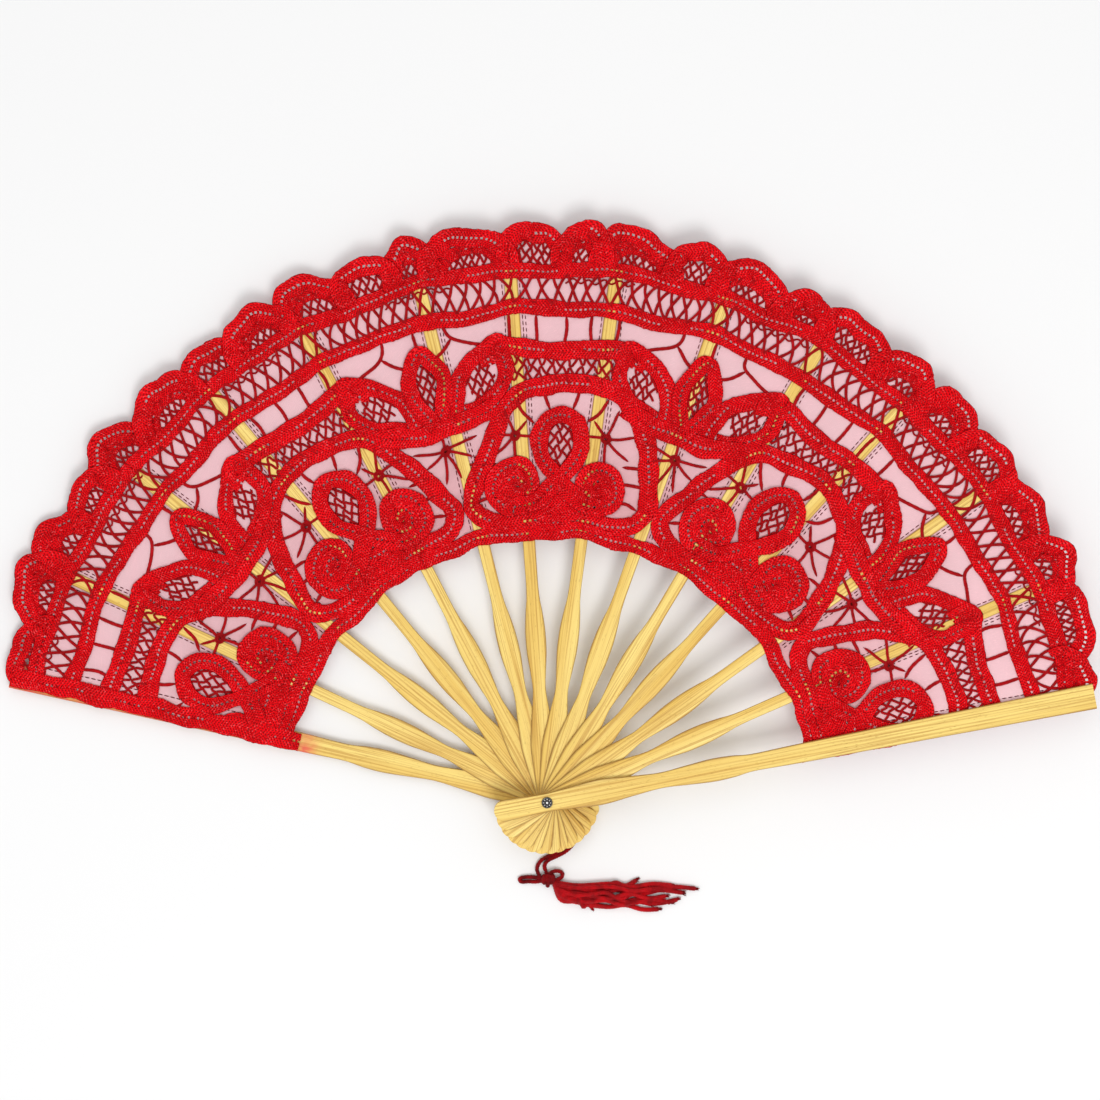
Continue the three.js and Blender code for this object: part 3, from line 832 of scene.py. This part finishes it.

# The channels that hold the blades: running stitches beside each stick, doubled on its far side.
# Each stitch is a short thread on the lining, drawn in at both of its ends.
# Main dye, darker dye that also serves as painted shade in the twist's grooves, and the painted
# highlight colour.
seam_yarn = yarn_finish("seam_yarn", dye(176, 20, 40), dye(120, 4, 18), dye(206, 70, 84), 1.2)
stitch_starts = np.arange(LEAF_INNER + 8, LEAF_OUTER_AT_GUARD - 8, STITCH_LENGTH)
for k in range(1, LAST + 1):
    seams = []
    sewn_beside = [(k - 1, -STITCH_OFFSET, 0.88), (k, STITCH_OFFSET, 0.88)]
    if k > 1:
        sewn_beside.append((k - 1, -STITCH_OFFSET - 1.1, 0.7))
    for stick_number, offset, cover in sewn_beside:
        if stick_number in (0, LAST):
            offset = np.sign(offset) * (GUARD_FLAT + 0.3)
        reach = stitch_starts[:, None] + np.linspace(0, STITCH_LENGTH * cover, 5)
        turn = np.radians(SPREAD[stick_number])
        swing = offset + 0.15 * np.sin(reach * 0.23 + k)
        plan = np.stack([
            reach * np.cos(turn) - swing * np.sin(turn),
            reach * np.sin(turn) + swing * np.cos(turn)], -1)
        path = np.concatenate([plan, (lining_level(*bearing(plan)) + STITCH_LIFT)[..., None]], -1)
        seams.append(tube(path, STITCH_RADIUS * np.array([0, 1, 1, 1, 0]), 5))
    seam = make_piece(f"lining_{k:02d}_seams", seams, seam_yarn)
    bend_over(seam)
    seam_pieces.append(seam)


# ---- The lace --------------------------------------------------------------------------------
# Red cotton tape lace in front of the blades: a woven tape with an openwork middle is laid in
# arches, trefoils, leaves, bands and scallops, and joined by twisted bars, wheels and net.

MEDALLION_AXES = 87.9 + 36.6 * np.arange(-2, 3)
HALF_REPEAT = 18.3
LEAF_TRIM = 2.4
TAPE_STEP = 0.95
# Across the tape: distance from its middle, and how far it stands up there
TAPE_PROFILE = np.array([
    (-2.95, 0.0), (-2.7, 0.14), (-2.2, 0.02), (-1.3, 0.08), (-0.38, 0.02), (0.38, 0.02),
    (1.3, 0.08), (2.2, 0.02), (2.7, 0.14), (2.95, 0.0)])
OPENWORK = 4
TAPE_EDGE = np.array([1, 0.8, 0.3, 0, 0, 0, 0, 0.3, 0.8, 1])
TAPE_BODY = 0.3
CROSSING = 0.34
BAR_RADIUS = 0.66
NET_RADIUS = 0.54
BAR_END_DIP = 0.35
BAR_END_RUN = 2.6
TUCK_RUN = 5.0
THREAD_SIDES = 6
THREAD_PLIES = 2
THREAD_LAY = 2.6
SPOKE_RADIUS = 0.56
WINDING_RADIUS = 0.42
SPOKE_OVERRUN = 1.06
DRAWN_IN = 0.0065
lace_chance = np.random.default_rng(11)


def by_hand(plan):
    """Small slow swings, up to half a millimetre, that hand sewing leaves in every line."""
    x, y = plan[..., 0], plan[..., 1]
    swing = np.stack([
        np.sin(0.21 * x + 0.13 * y + 1.0) + 0.6 * np.sin(0.47 * y - 0.31 * x),
        np.sin(0.19 * y - 0.16 * x + 2.0) + 0.6 * np.sin(0.43 * x + 0.27 * y)], -1)
    return plan + 0.3 * swing


def on_leaf(plan, lift):
    """Points of the plan, at that lift above the leaf's surface, which is halved on a blade. The
    leaf is taut from blade to blade, so between them each point is drawn in towards the rivet."""
    plan = by_hand(plan)
    radius, degrees = bearing(plan)
    share = free_share(radius, degrees)
    pressed = 0.5 + 0.5 * ease(6 * np.minimum(share, 1 - share))
    level = lace_level(radius, degrees) + lift * pressed
    taut = 1 - DRAWN_IN * np.sin(np.pi * share)
    return np.concatenate([plan * taut[..., None], level[..., None]], -1)


def turned_to(axis, local):
    """Local points, x to the right of an axis and y out along it, in the plan."""
    turn = np.radians(axis)
    x, y = np.asarray(local, float)[..., 0], np.asarray(local, float)[..., 1]
    return np.stack([x * np.sin(turn) + y * np.cos(turn), y * np.sin(turn) - x * np.cos(turn)], -1)


def round_axis(axis, bent):
    """Points given as degrees to the right of an axis and radius, in the plan."""
    bent = np.asarray(bent, float)
    turn = np.radians(axis - bent[..., 0])
    return np.stack([bent[..., 1] * np.cos(turn), bent[..., 1] * np.sin(turn)], -1)


def lay_tape(route, lift=0.0, width=1.0, tuck=0.0, frill=1.0):
    """Tape along a route in the plan: at each step a row across it, with selvedges that stand up
    and a middle in which every other cell is left open. Its ends dip by the tuck, and frill
    multiplies how far it puckers."""
    middle = flow(route, TAPE_STEP)
    heading = unit(np.gradient(middle, axis=0))
    right = np.stack([heading[:, 1], -heading[:, 0]], -1)
    gone = distance_along(middle)
    pull = width * (1 + 0.05 * np.sin(gone * 0.5 + middle[0, 0]))[:, None]
    rough = lace_chance.normal(0, 0.1, (len(middle), len(TAPE_PROFILE))) * TAPE_EDGE
    across = TAPE_PROFILE[:, 0] * pull + rough
    plan = middle[:, None] + right[:, None] * across[..., None]
    swell = lace_chance.uniform(0, 6, 2)
    pucker = 0.12 * np.sin(gone * 1.05 + swell[0])[:, None]
    pucker = pucker + 0.09 * np.sin(gone[:, None] * 2.3 + across * 1.1 + swell[1])
    tucked = tuck * (1 - ease(np.minimum(gone, gone[-1] - gone) / TUCK_RUN))[:, None]
    points = on_leaf(plan, lift - tucked + TAPE_PROFILE[:, 1] + frill * pucker)
    points, quads, uvs = weave(points, gone[:, None], TAPE_PROFILE[:, 0])
    cells = np.arange(len(quads))
    row, column = cells // (len(TAPE_PROFILE) - 1), cells % (len(TAPE_PROFILE) - 1)
    plain = np.sin(gone[row] * 0.13 + swell[0]) < -0.72
    kept = ~((column == OPENWORK) & (row % 2 == 0) & ~plain)
    tapes.append((points, quads[kept], uvs[kept]))


def lay_bar(route, radius=BAR_RADIUS, lift=0.0):
    """A bar of twisted thread along a route in the plan, whose ends dip behind the tapes."""
    middle = flow(route, 0.8)
    gone = distance_along(middle)
    to_end = np.minimum(gone, gone[-1] - gone)
    clear = ease(to_end / BAR_END_RUN)
    path = on_leaf(middle, lift - BAR_END_DIP * (1 - clear))
    girth = round_ends(path, radius) * (0.5 + 0.5 * clear)
    threads.append(tube(path, girth, THREAD_SIDES, THREAD_PLIES, THREAD_LAY, flatness=0.7))


def lay_net(inside, corner, size, cell=(3.3, 2.7), axis=90.0, around=None):
    """Net over an oblong: rows of waves, each row half a wave on from the last, so that crests
    meet and make round-sided holes. Only what is inside the opening has any thickness."""
    rows = np.arange(int(size[1] / cell[1]) + 2)[:, None]
    steps = np.linspace(0, size[0], int(8 * size[0] / cell[0]) + 2)[None, :]
    phase = 2 * np.pi * steps / cell[0] + np.pi * rows
    x = corner[0] + steps + 0 * rows
    y = corner[1] + rows * cell[1] + 0.5 * cell[1] * np.cos(phase) * (1 - 0.12 * np.cos(phase) ** 2)
    stray = 0.13 * cell[1] * np.sin(2.3 * y / cell[1] + 1.9 * x / cell[0] + rows)
    local = np.stack([x + stray * cell[0] / cell[1], y + 0.8 * stray], -1)
    plan = turned_to(axis, local) if around is None else round_axis(around, local)
    path = on_leaf(plan, 0.08 * np.sin(phase))
    threads.append(tube(path, NET_RADIUS * inside(x, y), 5, flatness=0.75))


def lay_wheel(axis, middle, spokes):
    """A spider wheel: legs from its middle out to the tapes round it, and two turns of thread
    wound over and under them close to the middle."""
    middle = np.array(middle, float)
    for end in spokes:
        end = middle + SPOKE_OVERRUN * (end - middle)
        lay_bar(turned_to(axis, [middle, (middle + end) / 2 + (0.15, -0.1), end]), SPOKE_RADIUS, 0.05)
    turn = np.linspace(0, 2 * np.pi * 2.2, 56)
    winding = middle + (0.5 + 0.12 * turn)[:, None] * np.stack([np.cos(turn), np.sin(turn)], -1)
    path = on_leaf(turned_to(axis, winding), 0.3 + 0.12 * np.cos(2.5 * turn))
    threads.append(tube(path, round_ends(path, WINDING_RADIUS), THREAD_SIDES))


def mirrored(side, points):
    """The same points, or their mirror image on the axis's other side."""
    return np.asarray(points, float) * (side, 1)


def both_sides(points):
    """An outline given from the axis outwards, after its own mirror image that runs inwards."""
    return np.concatenate([mirrored(-1, points)[:0:-1], points])


tapes, threads = [], []
ends = (SPREAD[LAST] - 1.2, SPREAD[0] + 1.2)
whole_arc = np.linspace(ends[1], ends[0], 60)

# The base tape and the two outer bands
for radius, lift, wave in ((103.0, 0.0, 0.7), (188.5, 0.0, 0.5), (203.5, 0.1, 0.6)):
    sway = wave * np.sin(np.radians(whole_arc) * 17 + radius)
    outer = np.minimum(radius + sway, leaf_edge(whole_arc) - 9 + sway)
    lay_tape(round_axis(0, np.stack([-whole_arc, outer], -1)), lift)

# The net between the two bands: two threads that swing from band to band and cross half way,
# leaning one way and then the other, and a smaller wave that ties them below the outer band
BAND_NET_RADIUS = 196.0
BAND_NET_SWING = 5.4
BAND_NET_PITCH = 3.3
BAND_NET_THICKNESS = 0.57
POINTEDNESS = 0.93
TIE_RADIUS = 199.3
TIE_LIFT = 0.15
turning = np.arange(ends[0], ends[1], 0.12)
lean = 0.55 * np.sin(turning * 0.21) + 0.35 * np.sin(turning * 0.53 + 1.0)
beat = turning * 2 * np.pi / BAND_NET_PITCH + 0.8 * np.sin(turning * 0.17)
for phase in (0, np.pi):
    swing = np.arcsin(POINTEDNESS * np.sin(beat + phase)) / np.arcsin(POINTEDNESS)
    leaning = -(turning + lean * swing ** 2 * 0.7)
    route = np.stack([leaning, BAND_NET_RADIUS + BAND_NET_SWING * swing], -1)
    path = on_leaf(round_axis(0, route), 0.1 * phase)
    threads.append(tube(
        path, round_ends(path, BAND_NET_THICKNESS), THREAD_SIDES, THREAD_PLIES, THREAD_LAY,
        flatness=0.75))
tie = np.stack([-turning, TIE_RADIUS + 0.8 * np.cos(2 * beat)], -1)
shown = 0.36 * (np.sin(turning * 0.31 + 0.6) > 0.4)
path = on_leaf(round_axis(0, tie), TIE_LIFT)
threads.append(tube(path, shown, THREAD_SIDES, flatness=0.75))

ARCH = [(0, 160.5), (4, 158.9), (8.2, 154.3), (11.8, 142), (15.2, 125), (16.6, 118), (16.4, 114),
        (14.7, 110), (10.5, 107.6), (5, 107.2), (-0.6, 107.0)]
ROOF = [(0, 172.6), (4, 173), (8, 174.6), (9.6, 173.5), (9.4, 168.5)]
PETAL = [(0, 148.6), (-5.7, 145.4), (-8.0, 138.5), (-6.6, 131.5), (-1.8, 125.2), (3.4, 119.6),
         (9.5, 113.6), (17.0, 111.6)]
CURL_MIDDLE = (17.0, 119.8)
CURL_RADII = [8.1, 8.2, 3.1, 2.9]
CURL_TURNS = [-90, 100, 320, 560]
UNDER_CURLS = [(0, 110.2), (4.5, 109.6), (9, 110.4)]
OVER_CROSSING = [(0, 114.8), (4.5, 115.2), (9, 117.2)]
# How far each medallion leans to the right at its top, in degrees, and how much smaller than the
# left curl its right curl is wound
MEDALLION_LEANS = (-0.9, 0.7, 1.5, -0.6, 0.8)
RIGHT_CURLS = (0.97, 1.0, 0.88, 0.96, 1.0)

for axis, lean, right_curl in zip(MEDALLION_AXES, MEDALLION_LEANS, RIGHT_CURLS):
    full_arch = both_sides(ARCH)
    full_arch[:, 0] += lean * ease((full_arch[:, 1] - 107) / 35)
    lay_tape(round_axis(axis, full_arch), 0.0, 1.18)
    lay_tape(round_axis(axis, both_sides(ROOF)), 0.1, 1.2)
    lay_tape(turned_to(axis, both_sides(UNDER_CURLS)), 0.1)
    lay_tape(turned_to(axis, both_sides(OVER_CROSSING)), 0.1)
    for side in (1, -1):
        turn = np.linspace(CURL_TURNS[0], CURL_TURNS[-1], 40)
        reach = np.interp(turn, CURL_TURNS, CURL_RADII)[:, None]
        turn = np.radians(turn)
        wound = right_curl if side > 0 else 1.0
        spiral = wound * reach * np.stack([np.cos(turn), np.sin(turn)], -1)
        spiral = spiral + (CURL_MIDDLE[0] - 16 * (1 - wound), CURL_MIDDLE[1])
        lay_tape(turned_to(axis, mirrored(side, spiral)), CROSSING * (1 + 0.5 * (side > 0)), 1.1)
        lay_wheel(axis, round_axis(90, [side * 7.1, 140]), round_axis(90, mirrored(side, [
            (3.6, 139.5), (5.2, 145.5), (8.4, 151), (11.6, 143.5), (11.2, 134), (7.6, 130)])))
        lay_bar(round_axis(axis, mirrored(side, [(1.8, 150), (2.3, 154), (2.5, 158)])))
        lay_bar(round_axis(axis, mirrored(side, [(4.0, 144.5), (5.6, 148.5), (6.6, 154.5)])))
        for reach_from, reach_to in ((131, 131.5), (124.0, 125.0), (117.0, 116.0)):
            lay_bar(round_axis(axis, mirrored(side, [
                (10.6, reach_from), (12.9, reach_from + 0.6), (15.2, reach_to)])))
    lay_tape(turned_to(axis, both_sides(PETAL)), 2 * CROSSING, 1.08)
    lay_net(lambda x, y: (x / 5.0) ** 2 + ((y - 137.5) / 9.8) ** 2 < 1, (-6, 127), (12, 21),
            (3.4, 2.7), axis)
    lay_net(lambda x, y: np.abs(x) < 8.3, (-8.6, 162.0), (17.2, 8.2), (1.3, 3.0), around=axis)
    for degree in (-6.6, -3.4, 0.1, 3.3, 6.5):
        tilt = 0.25 * np.sin(3 * degree)
        lay_bar(round_axis(axis, [(degree, 174.6), (degree + tilt, 180), (degree, 186.6)]))

SILL = [(0, 147.2), (3.4, 148.0), (6.4, 150.6), (9.4, 153.0)]
CENTRE_LEAF = [(0, 178), (-4.6, 172), (-6.7, 165), (-4.4, 157), (-0.4, 149)]
SIDE_LEAF = [(3.0, 150.5), (3.4, 158), (4.6, 166), (7.4, 173), (9.9, 176.4), (10.5, 170),
             (10.6, 163), (8.8, 156.5), (4.6, 152)]
for axis in (*(MEDALLION_AXES - HALF_REPEAT), MEDALLION_AXES[-1] + HALF_REPEAT):
    lay_tape(round_axis(axis, both_sides(SILL)), CROSSING, 1.25, tuck=0.8)
    for side in (1, -1):
        lay_tape(round_axis(axis, mirrored(side, SIDE_LEAF)), CROSSING * 0.5)
        lay_net(lambda x, y: ((np.abs(x) - 7.2) / 2.0) ** 2 + ((y - 163.5) / 8.5) ** 2 < 1,
                (side * 7.2 - 2.4, 154), (4.8, 19), (1.15, 2.7), around=axis)
        lay_bar(round_axis(axis, mirrored(side, [(3.7, 187.2), (4.5, 181), (8.6, 176.2)])))
        lay_bar(round_axis(axis, mirrored(side, [(4.5, 181), (3.2, 176.5), (1.7, 173.5)])))
    lay_tape(turned_to(axis, both_sides(CENTRE_LEAF)), 2 * CROSSING)
    lay_net(lambda x, y: (x / 4.4) ** 2 + ((y - 164.5) / 8.5) ** 2 < 1, (-5.5, 155), (11, 20),
            (3.0, 2.6), axis)
    lay_bar(turned_to(axis, [(0, 177), (0.2, 182), (0, 186.5)]))
    lay_wheel(axis, (0, 138.6), [
        (-12.5, 141.5), (-9.0, 134.5), (-3.2, 127.5), (3.4, 127.5), (9.0, 134.5), (12.5, 141.5),
        (0, 145.5)])

# The scalloped edge: a fan of small loops, each lapped over the last, with net inside
SCALLOPS = 26
SCALLOP_FOOT = 206.5
SCALLOP_LEAST_DEPTH = 8.0
bounds_of_scallops = np.linspace(SPREAD[0] + 0.4, SPREAD[LAST] - 0.4, SCALLOPS + 1)
bounds_of_scallops[1:-1] += lace_chance.uniform(-1.35, 1.35, SCALLOPS - 1)
for n, (left, right) in enumerate(zip(bounds_of_scallops[:-1], bounds_of_scallops[1:])):
    middle, half = (left + right) / 2, (left - right) / 2 + 0.25
    top = float(leaf_edge(middle)) - 1.2 + lace_chance.uniform(-2.2, 1.2)
    tilt = lace_chance.uniform(-0.5, 0.5)
    foot = float(min(SCALLOP_FOOT, top - SCALLOP_LEAST_DEPTH))
    turn = np.radians(np.linspace(-8, 188, 15))
    crimp = 1 + 0.07 * np.sin(3 * turn + 2.1 * n) + 0.04 * np.sin(7 * turn + n)
    loop = np.stack([-half * np.cos(turn) + tilt * np.sin(turn) * half / 2.5,
                     foot + (top - foot) * np.sin(turn) * crimp], -1)
    lay_tape(round_axis(middle, loop), CROSSING * (0.6 + 0.7 * (n % 2)), 1.22, frill=2.6)
    inner = np.stack([-0.7 * half * np.cos(turn), foot + 0.62 * (top - foot) * np.sin(turn)], -1)
    if n % 3:
        lay_tape(round_axis(middle, inner), 0.1, 0.8, frill=1.8)
    rise = top - foot - 1.5
    lay_net(lambda x, y: ((x / (half * 0.8)) ** 2 + ((y - foot) / rise) ** 2 < 1) & (y > foot - 2),
            (-half, foot - 1), (2 * half, rise + 3), (0.85, 2.5), around=middle)


def cut_out(parts, wanted):
    """What of these parts is wanted, by the radius and direction of the middle of each quad."""
    found = []
    for points, quads, uvs in parts:
        kept = wanted(*bearing(points[quads].mean(1)))
        if kept.any():
            used, renumbered = np.unique(quads[kept], return_inverse=True)
            found.append((points[used], renumbered.reshape(-1, 4), uvs[kept]))
    return found


def between_guards(radius, degrees):
    """Whether a place is no further past a guard's middle line than the trim."""
    margin = np.degrees(LEAF_TRIM / radius)
    return (degrees < SPREAD[0] + margin) & (degrees > SPREAD[LAST] - margin)


# Raw ends are cut at the guards and covered there by a wider tape along each guard
tapes, threads = cut_out(tapes, between_guards), cut_out(threads, between_guards)
for guard, side in ((0, 1), (LAST, -1)):
    out = np.linspace(97.5, 211, 24)
    offset = np.degrees((0.1 + 0.3 * np.sin(out * 0.4)) / out) * side
    lay_tape(round_axis(0, np.stack([-(SPREAD[guard] + offset), out], -1)), 2 * CROSSING, 1.24)


def tape_finish():
    """Woven cotton tape: a herringbone of fine ribs that meet at the middle, corded selvedges,
    painted shade where yarns dip and along both edges, painted highlights on the crests, and dyed a
    little unevenly."""
    material, start, shader = new_finish("red_tape", Specular_IOR_Level=0.1)
    run = start.node("UVMap", settings={"uv_map": "run"})
    along, across = run.parts()
    out = across.math("ABSOLUTE", across)
    ribs = (along * 5.2 + out * 4.4).wave()
    plait = (across * 9.0 + along.math("SINE", along) * 0.4).wave()
    selvedge = out.between(2.1, 2.4)
    cord = (along * 6.0 - across * 5.0).wave()
    weave_height = ribs * 0.65 + plait * 0.35 + selvedge * (cord - ribs) * 0.6
    place = start.node("TexCoord", output=3)
    uneven = place.noise(120.0, 3.0).between(0.3, 0.7)
    fluff = place.noise(1500.0, 3.0)
    colours = uneven.tint(dye(224, 0, 10), dye(255, 2, 18))
    # Painted shade: darker where the weave dips.
    colours = ((1 - weave_height.between(0.1, 0.5)) * 0.85).tint(colours, dye(112, 0, 5))
    colours = ((1 - fluff.between(0.34, 0.47)) * 0.25).tint(colours, dye(110, 0, 6))
    # Painted highlights: fluff flecks on the weave's crests turned pale pink.
    colours = (fluff.between(0.57, 0.69) * weave_height * 0.9).tint(colours, dye(255, 112, 118))
    # Painted shade along both edges, where the tape drops to what lies under it.
    colours = (out.between(2.7, 2.92) * 0.5).tint(colours, dye(110, 0, 5))
    feed(shader, Base_Color=colours, Roughness=fluff * 0.3 + 0.4)
    feed(shader, Normal=bump(weave_height * 0.65 + fluff * 0.35, 0.0007))
    return material


tape_cotton = tape_finish()
# Main dye, darker dye that also serves as painted shade in the twist's grooves, and the painted
# highlight colour.
thread_cotton = yarn_finish(
    "red_thread", dye(255, 0, 22), dye(208, 0, 12), dye(255, 64, 72), THREAD_LAY)
for k in range(1, LAST + 1):
    bay_tapes, bay_threads = (
        cut_out(parts, lambda _, degrees: bay_of(degrees) == k) for parts in (tapes, threads))
    tape = make_piece(f"lace_{k:02d}_tape", bay_tapes, tape_cotton)
    thread = make_piece(f"lace_{k:02d}_thread", bay_threads, thread_cotton)
    for piece in (tape, thread):
        bend_over(piece)
    body = tape.modifiers.new("tape body", "SOLIDIFY")
    body.thickness, body.offset = TAPE_BODY * MM, 1.0
    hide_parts(f"lace_{k:02d}")
